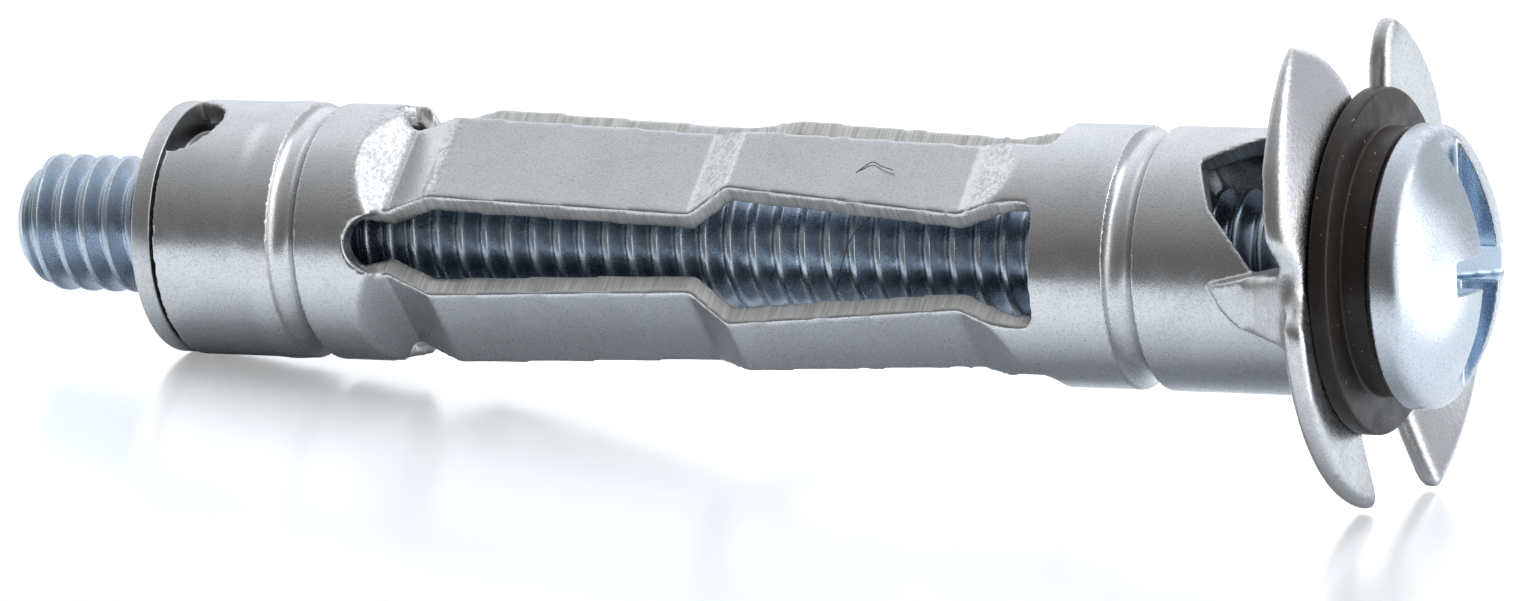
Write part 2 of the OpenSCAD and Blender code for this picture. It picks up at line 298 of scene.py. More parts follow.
@dataclass
class NodeTree:
    """Short way to add and join shader nodes."""

    tree: Tree

    def feed(self, node: Node, inputs: dict[str | int, object]) -> None:
        """Joins a node's inputs to sockets, or sets them to values."""
        for name, value in inputs.items():
            if isinstance(value, Socket):
                self.tree.links.new(value, node.inputs[name])
            else:
                node.inputs[name].default_value = value

    def add(self, kind: str, inputs: dict[str | int, object] | None = None,
            **settings: object) -> Node:
        """Adds a node.

        Args:
            kind: type of the node.
            inputs: for inputs, by name or number, the socket or value that each takes.
            settings: properties of the node.

        Returns:
            The node.
        """
        node = self.tree.nodes.new(kind)
        for name, value in settings.items():
            setattr(node, name, value)
        self.feed(node, inputs or {})
        return node

    def noise(self, vector: Socket, noise: Noise) -> Socket:
        """Adds a noise texture and returns its value."""
        return self.add("ShaderNodeTexNoise", {
            "Vector": vector, "Scale": noise.scale, "Detail": noise.detail,
            "Roughness": noise.roughness}).outputs["Fac"]

    def spread(self, value: Socket, low: float, high: float, new_low: float = 0,
               new_high: float = 1) -> Socket:
        """Maps a range of a value to another range, clamped and smooth."""
        return self.add("ShaderNodeMapRange", {
            "Value": value, "From Min": low, "From Max": high, "To Min": new_low,
            "To Max": new_high}, interpolation_type="SMOOTHSTEP").outputs["Result"]

    def calc(self, kind: str, first: Socket | float, second: Socket | float) -> Socket:
        """Adds a math node of two values and returns its result."""
        return self.add("ShaderNodeMath", {0: first, 1: second}, operation=kind).outputs[0]

    def plus(self, value: Socket, extra: Socket, weight: Socket | float) -> Socket:
        """Returns a value with a weighted extra added."""
        return self.calc("ADD", value, self.calc("MULTIPLY", extra, weight))

    def vector(self, kind: str, first: Socket, second: Socket | Vector | None = None) -> Node:
        """Adds a vector math node of one or two vectors."""
        inputs = {0: first} if second is None else {0: first, 1: second}
        return self.add("ShaderNodeVectorMath", inputs, operation=kind)

    def facing(self, direction: Socket, aim: Triple) -> Socket:
        """Returns the cosine between a unit direction and an aim."""
        return self.vector("DOT_PRODUCT", direction, Vector(aim).normalized()).outputs["Value"]

    def mapped(self, vector: Socket, **inputs: Triple) -> Socket:
        """Returns a vector after a mapping's Scale or Rotation."""
        return self.add("ShaderNodeMapping", {"Vector": vector, **inputs}).outputs["Vector"]

    def mask(self, mask: Mask) -> Socket:
        """Returns the values that a mesh carries under a mask's name."""
        return self.add("ShaderNodeAttribute", attribute_name=mask.value).outputs["Fac"]

    def mix(self, share: Socket, first: tuple | Socket, second: tuple | Socket) -> Socket:
        """Mixes two colours by a share and returns the colour."""
        colours = [colour if isinstance(colour, Socket) else (*colour, 1)
                   for colour in (first, second)]
        return self.add("ShaderNodeMix", {"Factor": share, 6: colours[0], 7: colours[1]},
                        data_type="RGBA").outputs[2]

    def roughened(self, height: Socket, depth: float) -> Socket:
        """Returns the normal of a surface that a height, in millimetres, bumps."""
        return self.add("ShaderNodeBump", {"Height": height, "Strength": 1,
                                           "Distance": depth * MM}).outputs["Normal"]


def new_material(name: str) -> tuple[Material, NodeTree, Node]:
    """Makes a material and returns it with its node helper and its shader."""
    material = bpy.data.materials.new(name)
    material.use_nodes = True
    return material, NodeTree(material.node_tree), material.node_tree.nodes["Principled BSDF"]


def new_group(name: str, ins: dict[str, float | None], outs: tuple[str, ...]) -> tuple:
    """Makes an empty shader group with number outputs.

    Args:
        name: name of the group.
        ins: for each input its first value, or None where it takes a vector.
        outs: names of the outputs.

    Returns:
        The tree, its helper, and its input and output nodes.
    """
    tree = bpy.data.node_groups.new(name, "ShaderNodeTree")
    for label, value in ins.items():
        kind = "NodeSocketVector" if value is None else "NodeSocketFloat"
        socket = tree.interface.new_socket(label, in_out="INPUT", socket_type=kind)
        if value is not None:
            socket.default_value = value
    for label in outs:
        tree.interface.new_socket(label, in_out="OUTPUT", socket_type="NodeSocketFloat")
    nodes = NodeTree(tree)
    return tree, nodes, nodes.add("NodeGroupInput"), nodes.add("NodeGroupOutput")


@dataclass(frozen=True)
class Plating:
    """Grain of electroplated zinc: crystals, clouds, stains, crazing and a painted highlight where
    it was worked.
    """

    crystals: Noise = Noise(17000, 3, 0.7, (0.47, 0.66))
    clouds: Noise = Noise(900, 3, 0.6, (0.35, 0.7))
    stains: Noise = Noise(260)
    crazing: Noise = Noise(7000, 2, 0.6, (0.36, 0.66))
    # Lightening of the worked places: a painted highlight.
    worked_highlight_tone: float = -0.24
    cloud_tone: float = 0.25
    stain_tone: float = 0.3
    cloud_roughness: float = 0.07
    crazed_roughness: float = 0.14
    fleck_roughness: float = 0.08
    coarse_height: float = 0.8
    worked_height: float = 6

    def build(self) -> Tree:
        """Makes the group and returns it, with the outputs Tone, Roughness and Height."""
        ins = {"Vector": None, "Grain": 1, "Roughness": 0.3, "Worked_and_highlight": 0}
        tree, nodes, given, result = new_group("plating", ins, ("Tone", "Roughness", "Height"))
        vector, grain, roughness, worked = (given.outputs[name] for name in ins)
        crystals = nodes.noise(vector, self.crystals)
        coarse = nodes.noise(vector, self.crazing)
        fleck = nodes.spread(crystals, *self.crystals.span)
        cloud = nodes.spread(nodes.noise(vector, self.clouds), *self.clouds.span, -0.5, 0.5)
        stain = nodes.spread(nodes.noise(vector, self.stains), *self.stains.span, -0.5, 0.5)
        crazed = nodes.calc("MULTIPLY", nodes.spread(coarse, *self.crazing.span), worked)
        tone = nodes.calc("MULTIPLY", nodes.calc("ADD", fleck, crazed), grain)
        # Worked places are lightened here: a painted highlight over the crazing.
        tone = nodes.plus(tone, worked, self.worked_highlight_tone)
        tone = nodes.plus(tone, cloud, self.cloud_tone)
        tone = nodes.plus(tone, stain, self.stain_tone)
        rough = nodes.plus(roughness, cloud, self.cloud_roughness)
        rough = nodes.plus(rough, crazed, self.crazed_roughness)
        rough = nodes.plus(rough, fleck, self.fleck_roughness)
        height = nodes.calc("MULTIPLY", nodes.plus(crystals, coarse, self.coarse_height), grain)
        height = nodes.plus(height, nodes.calc("MULTIPLY", coarse, worked), self.worked_height)
        nodes.feed(result, {"Tone": tone, "Roughness": rough, "Height": height})
        return tree


@dataclass(frozen=True)
class ShearMarks:
    """Marks of a sheared sheet edge: lines across its thickness."""

    stretch: Triple = (1, 0.04, 0.04)
    fine: Noise = Noise(16000, 2, 0.6)
    broad: Noise = Noise(3500)
    fine_share: float = 0.65

    def build(self) -> Tree:
        """Makes the group and returns it, with the outputs Lines and Height."""
        tree, nodes, given, result = new_group("shear_marks", {"Vector": None},
                                               ("Lines", "Height"))
        vector = nodes.mapped(given.outputs["Vector"], Scale=self.stretch)
        fine = nodes.spread(nodes.noise(vector, self.fine), *self.fine.span)
        broad = nodes.spread(nodes.noise(vector, self.broad), *self.broad.span)
        lines = nodes.plus(nodes.calc("MULTIPLY", fine, self.fine_share), broad,
                           1 - self.fine_share)
        nodes.feed(result, {"Lines": lines, "Height": lines})
        return tree


@dataclass(frozen=True)
class ZincFinish:
    """Bright zinc plating on a steel piece."""

    name: str
    light: Triple
    dark: Triple
    roughness: float
    grain: float = 1.0
    bump: float = 0.0026
    cut_light: Triple = (0.68, 0.675, 0.66)
    cut_dark: Triple = (0.45, 0.44, 0.425)
    cut_roughness: float = 0.40
    cut_height: float = 3
    # Bluer, darker colour of the slot and cross: painted shade.
    recess_shade: Triple = (0.47, 0.57, 0.68)
    tones: Span = (-0.4, 1.2)
    masks: tuple[Mask, ...] = ()

    def build(self, groups: dict[str, Tree]) -> Material:
        """Makes the material.

        Args:
            groups: the shared shader groups by name.

        Returns:
            The material.
        """
        material, nodes, shader = new_material(self.name)
        place = nodes.add("ShaderNodeTexCoord").outputs["Object"]
        vector = nodes.mapped(place, Rotation=(0, TILT, 0))
        plating = nodes.add("ShaderNodeGroup", node_tree=groups["plating"])
        nodes.feed(plating, {"Vector": vector, "Grain": self.grain, "Roughness": self.roughness})
        if Mask.WORKED_AND_HIGHLIGHT in self.masks:
            nodes.feed(plating, {"Worked_and_highlight": nodes.mask(Mask.WORKED_AND_HIGHLIGHT)})
        tone = nodes.spread(plating.outputs["Tone"], *self.tones)
        colour = nodes.mix(tone, self.light, self.dark)
        rough, height = plating.outputs["Roughness"], plating.outputs["Height"]
        if Mask.SHEARED in self.masks:
            marks = nodes.add("ShaderNodeGroup", node_tree=groups["shear_marks"])
            nodes.feed(marks, {"Vector": vector})
            colour, rough, height = self._add_cut_faces(nodes, marks, (colour, rough, height))
        # Painted shade in the slot and cross of the head.
        if Mask.RECESS_SHADE in self.masks:
            colour = nodes.mix(nodes.mask(Mask.RECESS_SHADE), colour, self.recess_shade)
        nodes.feed(shader, {"Base Color": colour, "Metallic": 1, "Roughness": rough,
                            "Normal": nodes.roughened(height, self.bump)})
        return material

    def _add_cut_faces(self, nodes: NodeTree, marks: Node,
                       coat: tuple[Socket, ...]) -> tuple[Socket, ...]:
        """Mixes the sheared finish over the plating where the mask says so.

        Args:
            nodes: helper of the material's tree.
            marks: the node of the shear marks.
            coat: colour, roughness and height of the plating.

        Returns:
            The mixed colour, roughness and height.
        """
        colour, rough, height = coat
        mask = nodes.mask(Mask.SHEARED)
        cut = nodes.mix(marks.outputs["Lines"], self.cut_dark, self.cut_light)
        marked = nodes.calc("MULTIPLY", marks.outputs["Height"], mask)
        return (nodes.mix(mask, colour, cut),
                nodes.plus(rough, mask, self.cut_roughness - self.roughness),
                nodes.plus(height, marked, self.cut_height))


@dataclass(frozen=True)
class PlasticFinish:
    """A dull, mottled surface with a little dust, for plastic and for hair."""

    name: str
    colour: Triple
    dust: Triple = (0.30, 0.27, 0.24)
    darkening: float = 0.75
    specular: float = 0.3
    roughness: float = 0.38
    roughness_swing: float = 0.07
    roughness_span: Span = (0.3, 0.7)
    bump: float = 0.003
    mottle: Noise = Noise(1400, 3, 0.6)
    specks: Noise = Noise(9000, 1, 0.5, (0.72, 0.8))
    grain: Noise = Noise(9000, 3, 0.6)

    def build(self) -> Material:
        """Makes the material and returns it."""
        material, nodes, shader = new_material(self.name)
        place = nodes.add("ShaderNodeTexCoord").outputs["Object"]
        mottle = nodes.noise(place, self.mottle)
        speck = nodes.spread(nodes.noise(place, self.specks), *self.specks.span)
        darker = tuple(channel * self.darkening for channel in self.colour)
        colour = nodes.mix(nodes.spread(mottle, *self.mottle.span), self.colour, darker)
        rough = nodes.spread(mottle, *self.roughness_span, self.roughness - self.roughness_swing,
                             self.roughness + self.roughness_swing)
        grain = nodes.noise(place, self.grain)
        nodes.feed(shader, {"Base Color": nodes.mix(speck, colour, self.dust), "Roughness": rough,
                            "Specular IOR Level": self.specular,
                            "Normal": nodes.roughened(grain, self.bump)})
        return material


# ---- Pieces ----


@dataclass
class Sleeve:
    """The slit sheet-metal sleeve with its grooves, legs, flange and teeth."""

    radius: float = 3.85
    sheet: float = 0.7
    length: float = 37.35
    groove_stations: Span = (4.24, 31.05)
    groove_width: float = 0.95
    groove_depth: float = 0.33
    bead_station: float = 3.1
    bead_half_width: float = 0.65
    bead_height: float = 0.035
    collar_ends: Span = (6.3, 28.35)
    flange_bend: float = 0.55
    worked_stations: tuple[Span, ...] = ((6.9, 0.75), (9.1, 0.3), (18.05, 0.75), (26.75, 0.7))
    voxel: float = 0.085
    smoothing: int = 7
    flange_smoothing: int = 80
    rim_from: float = 4.6
    rim_depth: float = 2.2
    ease: float = 0.3
    bend_ease: float = 0.1
    bead_reach: Span = (0.7, 0.9)
    trued_within: Span = (0.02, 0.045)
    skin: Span = (0.004, 0.02)
    slope_step: float = 0.01
    burr: Span = (5.2, 7.0)
    flange_reach: Span = (3.95, 4.45)
    flange_from: Span = (-1.9, -1.4)
    bend_from: Span = (-1.6, -1.2)
    cut_facing: Span = (0.45, 0.7)
    flange_uncut: float = 0.75
    flange_worked: float = 0.45
    worked_core: float = 0.6
    outer_facing: Span = (0.2, 0.5)
    worked_height: Span = (-1.0, 0.8)
    cuts: tuple[float, ...] = (-1.0, 10.5, 20.5, 30.0, 36.2, 45.0)

    def build(self) -> list[Piece]:
        """Makes the sleeve from the frame's solid, with its edges rounded.

        Returns:
            Stretches of the one sleeve, laid down.
        """
        whole = self._drawn_copy()
        modify(whole, "REMESH", mode="VOXEL", voxel_size=self.voxel)
        bake_modifiers(whole)
        points = per_point(whole.data, "co")
        by_face = points[:, 2] > self.length - self.rim_depth
        inside = np.flatnonzero(by_face & (reach_of(points) > self.rim_from))
        whole.vertex_groups.new(name="rim").add(inside.tolist(), 1, "REPLACE")
        for rounds, group in ((self.smoothing, ""), (self.flange_smoothing, "rim")):
            modify(whole, "SMOOTH", factor=0.5, iterations=rounds, vertex_group=group)
        bake_modifiers(whole)
        self._true_up(whole.data)
        self._mark_finish(whole.data)
        normals = self._exact_normals(whole.data)
        pieces = [self._stretch(whole, normals, low, high)
                  for low, high in zip(self.cuts, self.cuts[1:])]
        bpy.data.objects.remove(whole)
        return pieces

    def _stretch(self, whole: Piece, normals: np.ndarray, low: float, high: float) -> Piece:
        """Returns the part of the sleeve whose faces lie between two stations.

        Args:
            whole: the whole sleeve, standing.
            normals: its point normals.
            low: lowest station of the stretch.
            high: highest station of the stretch.

        Returns:
            The stretch, laid down, with the whole sleeve's normals.
        """
        bm = bmesh.new()
        bm.from_mesh(whole.data)
        bm.verts.ensure_lookup_table()
        order = bm.verts.layers.int.new("order")
        for vert in bm.verts:
            vert[order] = vert.index
        outside = [face for face in bm.faces if not low <= face.calc_center_median().z < high]
        bmesh.ops.delete(bm, geom=outside, context="FACES")
        kept = np.array([vert[order] for vert in bm.verts])
        bm.verts.layers.int.remove(order)
        piece = object_from(bm, f"sleeve_{round(max(low, 0)):02d}")
        lay_down(piece)
        set_normals(piece.data, normals[kept])
        return piece

    def _drawn_copy(self) -> Piece:
        """Returns a merged copy of the solid, stood up and in millimetres."""
        bm = bmesh.new()
        bm.from_mesh(frame["nodes"]["sleeve"].data)
        bmesh.ops.transform(bm, matrix=TO_FRAME.inverted(), verts=bm.verts)
        bmesh.ops.remove_doubles(bm, verts=bm.verts, dist=MERGE)
        return object_from(bm, "sleeve_sheet")

    def _outer_radius(self, stations: np.ndarray) -> np.ndarray:
        """Returns the tube's true outer radius at each station."""
        radii = np.full(len(stations), self.radius)
        across = np.clip((stations - self.bead_station) / self.bead_half_width, -1, 1)
        radii = radii + self.bead_height * (1 + np.cos(math.pi * across)) / 2
        section = ((self.groove_width / 2) ** 2 + self.groove_depth ** 2) / (2 * self.groove_depth)
        for centre in self.groove_stations:
            inside = np.clip(section ** 2 - (stations - centre) ** 2, 0, None)
            pressed = self.radius - self.groove_depth + section - np.sqrt(inside)
            radii = np.where(inside > 0, np.minimum(radii, pressed), radii)
        return radii

    def _true_up(self, mesh: Mesh) -> None:
        """Moves the points of the round walls onto their exact circles."""
        points = per_point(mesh, "co")
        stations = points[:, 2]
        reach = reach_of(points)
        round_wall = self._round_wall(stations)
        by_bead = 2 - smooth_step(*self.bead_reach, np.abs(stations - self.bead_station))
        bore = np.full(len(stations), self.radius - self.sheet)
        wanted = reach.copy()
        for target in (self._outer_radius(stations), bore):
            share = 1 - smooth_step(*self.trued_within, np.abs(reach - target) / by_bead)
            wanted = wanted + (target - wanted) * share * round_wall
        points[:, :2] *= (wanted / reach)[:, None]
        set_points(mesh, points)

    def _round_wall(self, stations: np.ndarray) -> np.ndarray:
        """Returns 1 where the sleeve is a round tube and 0 at its legs and flange."""
        low, high = self.collar_ends
        bend = self.length - self.sheet - self.flange_bend
        far = 1 - smooth_step(low, low + self.ease, stations)
        near = smooth_step(high - self.ease, high, stations)
        return far + near * (1 - smooth_step(bend - self.bend_ease, bend, stations))

    def _exact_normals(self, mesh: Mesh) -> np.ndarray:
        """Returns the point normals, with those of the round outer wall worked out exactly."""
        points = per_point(mesh, "co")
        stations = points[:, 2]
        reach = reach_of(points)
        step = self.slope_step
        rise = self._outer_radius(stations + step) - self._outer_radius(stations - step)
        exact = np.column_stack((points[:, :2] / reach[:, None], -rise / (2 * step)))
        exact /= np.linalg.norm(exact, axis=1)[:, None]
        on_wall = 1 - smooth_step(*self.skin, np.abs(reach - self._outer_radius(stations)))
        return blend_normals(per_point(mesh, "normal"), exact,
                             on_wall * self._round_wall(stations))

    def _mark_finish(self, mesh: Mesh) -> None:
        """Marks the sheared faces of the sheet and the places where it was bent hard, which carry
        a painted highlight.
        """
        points = per_point(mesh, "co")
        normals = per_point(mesh, "normal")
        stations = points[:, 2]
        from_face = stations - self.length
        reach = reach_of(points)
        outward = (normals[:, :2] * points[:, :2]).sum(1) / reach
        across, along = np.abs(outward), np.abs(normals[:, 2])
        flange = smooth_step(*self.flange_reach, reach) * smooth_step(*self.flange_from, from_face)
        bend = smooth_step(*self.bend_from, from_face) * (1 - flange)
        sheet_face = np.maximum(across * (1 - flange), along * flange)
        sheet_face = np.maximum(sheet_face, np.hypot(across, along) * bend)
        sheared = 1 - smooth_step(*self.cut_facing, sheet_face)
        sheared *= 1 - self.flange_uncut * flange
        burr_from, burr_to = self.burr
        burr = sheared * smooth_step(burr_from, burr_from + self.ease, stations) \
            * (1 - smooth_step(burr_to - self.ease, burr_to, stations))
        worked = np.zeros(len(stations))
        for station, half in self.worked_stations:
            near = 1 - smooth_step(half * self.worked_core, half, np.abs(stations - station))
            worked = np.maximum(worked, near)
        # Only outward faces on the upper half take the mark, as a painted highlight on the lit
        # side.
        worked *= smooth_step(*self.outer_facing, outward)
        worked *= smooth_step(*self.worked_height, points[:, 1])
        worked = np.maximum(worked, self.flange_worked * flange) * (1 - sheared)
        # The burr at the slit's end joins the worked mark, painted highlight included.
        add_mask(mesh, Mask.SHEARED, sheared * (1 - burr))
        add_mask(mesh, Mask.WORKED_AND_HIGHLIGHT, np.maximum(worked, burr))

    def dress(self, pieces: list[Piece], materials: list[Material]) -> None:
        """Gives the stretches their finish and lets them stand for the solid."""
        for piece in pieces:
            paint(piece, materials[0])
            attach(piece, Body.ANCHOR.value)
            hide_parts("sleeve")


@dataclass
class Turned:
    """A piece that is turned from an outline and has its edges rounded."""

    edge: float = 0.07
    lift: float = 0.0
    steps: int = 128

    def turn(self, name: str, outline: list[Span]) -> list[Piece]:
        """Makes the piece and lays it down.

        Args:
            name: name of the piece.
            outline: points of radius and station, in order round the section.

        Returns:
            The piece, alone in a list.
        """
        bm = lathe([*outline, outline[0]], self.steps)
        soften(bm, self.edge)
        bmesh.ops.translate(bm, vec=(0, self.lift, 0), verts=bm.verts)
        piece = object_from(bm, name)
        lay_down(piece)
        return [piece]


@dataclass
class Nut(Turned):
    """The turned nut that is pressed into the far end of the sleeve."""

    plate_from: float = -0.75
    plate_radius: float = 3.8
    plate_thick: float = 0.62
    body_radius: float = 2.85
    body_end: float = 3.4
    bore_radius: float = 2.11
    mouth: float = 0.25

    def build(self) -> list[Piece]:
        """Returns the nut, with a chamfered mouth."""
        shoulder = self.plate_from + self.plate_thick
        return self.turn("nut_turning", [
            (self.bore_radius + self.mouth, self.plate_from),
            (self.plate_radius, self.plate_from),
            (self.plate_radius, shoulder),
            (self.body_radius, shoulder),
            (self.body_radius, self.body_end),
            (self.bore_radius, self.body_end),
            (self.bore_radius, self.plate_from + self.mouth),
        ])

    def dress(self, pieces: list[Piece], materials: list[Material]) -> None:
        """Gives the piece its finish and lets it stand for the solid."""
        piece = pieces[0]
        paint(piece, materials[0])
        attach(piece, Body.ANCHOR.value)
        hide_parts("nut")


@dataclass
class Washer(Turned):
    """The dark washer with its raised hub, which lies a little high on the screw."""

    seat: float = 37.37
    radius: float = 5.01
    thick: float = 0.56
    hub_radius: float = 3.9
    hub_height: float = 0.76
    bore_radius: float = 2.38
    edge: float = 0.09
    lift: float = 0.12
    steps: int = 160

    def build(self) -> list[Piece]:
        """Returns the washer with its hub."""
        face = self.seat + self.thick
        return self.turn("washer_turning", [
            (self.bore_radius, self.seat),
            (self.radius, self.seat),
            (self.radius, face),
            (self.hub_radius, face),
            (self.hub_radius, face + self.hub_height),
            (self.bore_radius, face + self.hub_height),
        ])

    def dress(self, pieces: list[Piece], materials: list[Material]) -> None:
        """Gives the piece its finish and lets it stand for the solid."""
        piece = pieces[0]
        paint(piece, materials[0])
        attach(piece, Body.COLLAR.value)
        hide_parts("washer")


@dataclass
class Screw:
    """The machine screw: a rolled thread and a pan head with slot and cross."""

    head_station: float = HEAD_STATION
    length: float = 44.5
    thread_radius: float = 2.08
    thread_depth: float = 0.48
    pitch: float = 0.79375
    crest_width: float = 0.2
    valley_power: float = 1.6
    crest_station: float = 0.64
    steps: int = 72
    valley_points: int = 9
    crest_corner: float = 0.03
    spare_turns: int = 3
    overlap: float = 0.3
    tip_radius: float = 1.46
    tip_height: float = 0.65
    head_radius: float = 4.12
    head_height: float = 2.4
    rim_height: float = 0.62
    shoulder: float = 0.55
    arc_points: tuple[int, int] = (10, 24)
    under_edge: Span = (0.25, 0.18)
    under_dish: float = 0.01
    slot_width: float = 1.4
    slot_shift: float = 0.12
    slot_depth: float = 1.25
    cross_depth: float = 1.9
    cross_width: float = 0.95
    cross_floor: float = 1.2
    cross_mouth: float = 6.2
    head_steps: int = 144
    head_voxel: float = 0.055
    head_smoothing: int = 5
    skin: Span = (0.012, 0.035)
    skin_from: Span = (0.22, 0.3)
    recess_depth: Span = (0.05, 0.15)
    recess_within: Span = (0.5, 0.8)
    over_rim: Span = (0.03, 0.08)
    hammered_height: Span = (0.3, 1.2)
    hammered_away: Span = (-1.9, -1.0)
    hammered: float = 0.8

    def build(self) -> list[Piece]:
        """Returns the threaded shank and the head, laid down."""
        return [self._thread(), self._head()]

    def _thread(self) -> Piece:
        """Spins one turn of the thread, stacks it along the shank and cuts it to length.

        Returns:
            The threaded shank, laid down.
        """
        tip = self.head_station - self.length
        turns = math.ceil(self.length / self.pitch) + self.spare_turns
        turn = spin_outline(self._thread_outline(), self.steps, self.pitch)
        start = self.crest_station - self.pitch / 2
        start -= math.ceil((start - tip) / self.pitch + 1) * self.pitch
        bmesh.ops.translate(turn, vec=(0, 0, start), verts=turn.verts)
        whole = bmesh.new()
        scratch = bpy.data.meshes.new("turn")
        for _ in range(turns):
            turn.to_mesh(scratch)
            whole.from_mesh(scratch)
            bmesh.ops.translate(turn, vec=(0, 0, self.pitch), verts=turn.verts)
        turn.free()
        bpy.data.meshes.remove(scratch)
        bmesh.ops.remove_doubles(whole, verts=whole.verts, dist=MERGE)
        self._chamfer_tip(whole, tip)
        for station, outward in ((tip, -1), (self.head_station + self.overlap, 1)):
            bmesh.ops.bisect_plane(whole, geom=whole.verts[:] + whole.edges[:] + whole.faces[:],
                                   dist=FINE, plane_co=(0, 0, station), plane_no=(0, 0, outward),
                                   clear_outer=True)
        rims = [edge for edge in whole.edges if edge.is_boundary]
        bmesh.ops.holes_fill(whole, edges=rims, sides=0)
        bmesh.ops.recalc_face_normals(whole, faces=whole.faces)
        piece = object_from(whole, "screw_thread")
        lay_down(piece)
        return piece

    def _thread_outline(self) -> list[Span]:
        """Returns one pitch of the thread's section: a flat crest and a hollow valley."""
        crest, half, corner = self.thread_radius, self.crest_width / 2, self.crest_corner
        outline = [(crest - corner, -half), (crest, -half + corner),
                   (crest, half - corner), (crest - corner, half)]
        valley = self.pitch - self.crest_width
        for i in range(1, self.valley_points + 1):
            share = i / (self.valley_points + 1)
            drop = self.thread_depth * (1 - abs(2 * share - 1) ** self.valley_power)
            outline.append((crest - corner - drop, half + valley * share))
        outline.append((crest - corner, self.pitch - half))
        return outline

    def _chamfer_tip(self, bm: Shape, tip: float) -> None:
        """Brings the first turns inside the cone of the tip's chamfer."""
        slope = (self.thread_radius - self.tip_radius) / self.tip_height
        for vert in bm.verts:
            if vert.co.z > tip + self.tip_height:
                continue
            allowed = self.tip_radius + slope * (vert.co.z - tip)
            reach = math.hypot(vert.co.x, vert.co.y)
            if reach > allowed > 0:
                vert.co.x *= allowed / reach
                vert.co.y *= allowed / reach

    def _head(self) -> Piece:
        """Turns the pan head, cuts its slot and cross, and rounds the edges.

        Returns:
            The head, laid down.
        """
        top = self.head_station + self.head_height
        shoulder = (self.head_radius - self.shoulder, self.head_station + self.rim_height)
        dome, meeting = self._dome(shoulder, top)
        inward, upward = self.under_edge
        outline = [(0, self.head_station + self.under_dish),
                   (self.head_radius - inward, self.head_station),
                   (self.head_radius, self.head_station + upward)]
        outline += arc(shoulder, self.shoulder, 0, meeting, self.arc_points[0])
        outline += arc((0, top - dome), dome, meeting, 90, self.arc_points[1])[1:]
        head = object_from(lathe(outline, self.head_steps), "screw_head")
        cutters = [self._slot_cutter(top), self._cross_cutter(top, 0), self._cross_cutter(top, 90)]
        for cutter in cutters:
            modify(head, "BOOLEAN", operation="DIFFERENCE", solver="EXACT", object=cutter)
        modify(head, "REMESH", mode="VOXEL", voxel_size=self.head_voxel)
        modify(head, "SMOOTH", factor=0.5, iterations=self.head_smoothing)
        bake_modifiers(head)
        for cutter in cutters:
            bpy.data.objects.remove(cutter)
        normals = self._finish_head(head.data, shoulder, dome, top - dome)
        lay_down(head)
        set_normals(head.data, normals)
        return head

    def _finish_head(self, mesh: Mesh, shoulder: Span, dome: float,
                     dome_station: float) -> np.ndarray:
        """Marks painted shade in the slot and cross and the hammered side of the dome, and works
        out the normals.

        Args:
            mesh: the head, standing.
            shoulder: radius and station of the centre of the shoulder's arc.
            dome: radius of the dome.
            dome_station: station of the dome's centre.

        Returns:
            Point normals, exact on the dome, its shoulder and the rim.
        """
        points = per_point(mesh, "co")
        stations = points[:, 2]
        reach = reach_of(points)
        from_dome, from_shoulder = stations - dome_station, stations - shoulder[1]
        on_dome = from_dome * shoulder[0] > reach * (shoulder[1] - dome_station)
        outward = np.where(on_dome, reach, reach - shoulder[0])
        upward = np.where(on_dome, from_dome, np.maximum(from_shoulder, 0))
        distance = np.maximum(np.hypot(outward, upward), TINY)
        depth = np.where(on_dome, dome, self.shoulder) - distance
        skin = 1 - smooth_step(*self.skin, np.abs(depth))
        skin *= smooth_step(*self.skin_from, stations - self.head_station)
        exact = np.column_stack((points[:, :2] * (outward / reach)[:, None], upward))
        exact /= distance[:, None]
        over_rim = smooth_step(*self.over_rim, from_shoulder)
        # How far a point lies down in the slot or cross, where painted shade goes.
        recess_shade_share = smooth_step(*self.recess_depth, dome - np.hypot(reach, from_dome))
        recess_shade_share *= smooth_step(*self.recess_within, self.head_radius - reach)
        struck = smooth_step(*self.hammered_height, points[:, 1]) \
            * smooth_step(*self.hammered_away, points[:, 0])
        add_mask(mesh, Mask.RECESS_SHADE, recess_shade_share * over_rim)
        # The hammered patch takes the worked mark, whose lightening is a painted highlight.
        add_mask(mesh, Mask.WORKED_AND_HIGHLIGHT, self.hammered * struck * (1 - recess_shade_share) * over_rim)
        return blend_normals(per_point(mesh, "normal"), exact, skin)

    def _dome(self, shoulder: Span, top: float) -> Span:
        """Finds the dome that runs into the head's round shoulder.

        Args:
            shoulder: radius and station of the centre of the shoulder's arc.
            top: station of the dome's top.

        Returns:
            The dome's radius and the angle at which it meets the shoulder, in degrees.
        """
        rise = top - shoulder[1]
        dome = (shoulder[0] ** 2 + rise ** 2 - self.shoulder ** 2) / (2 * (rise - self.shoulder))
        return dome, math.degrees(math.atan2(shoulder[1] - top + dome, shoulder[0]))

    def _slot_cutter(self, top: float) -> Piece:
        """Returns the blade that cuts the slot right across the head."""
        height = 4
        bm = block(self.slot_width, 4 * self.head_radius, height)
        bmesh.ops.translate(bm, vec=(self.slot_shift, 0, top - self.slot_depth + height / 2),
                            verts=bm.verts)
        return object_from(bm, "slot_cutter")

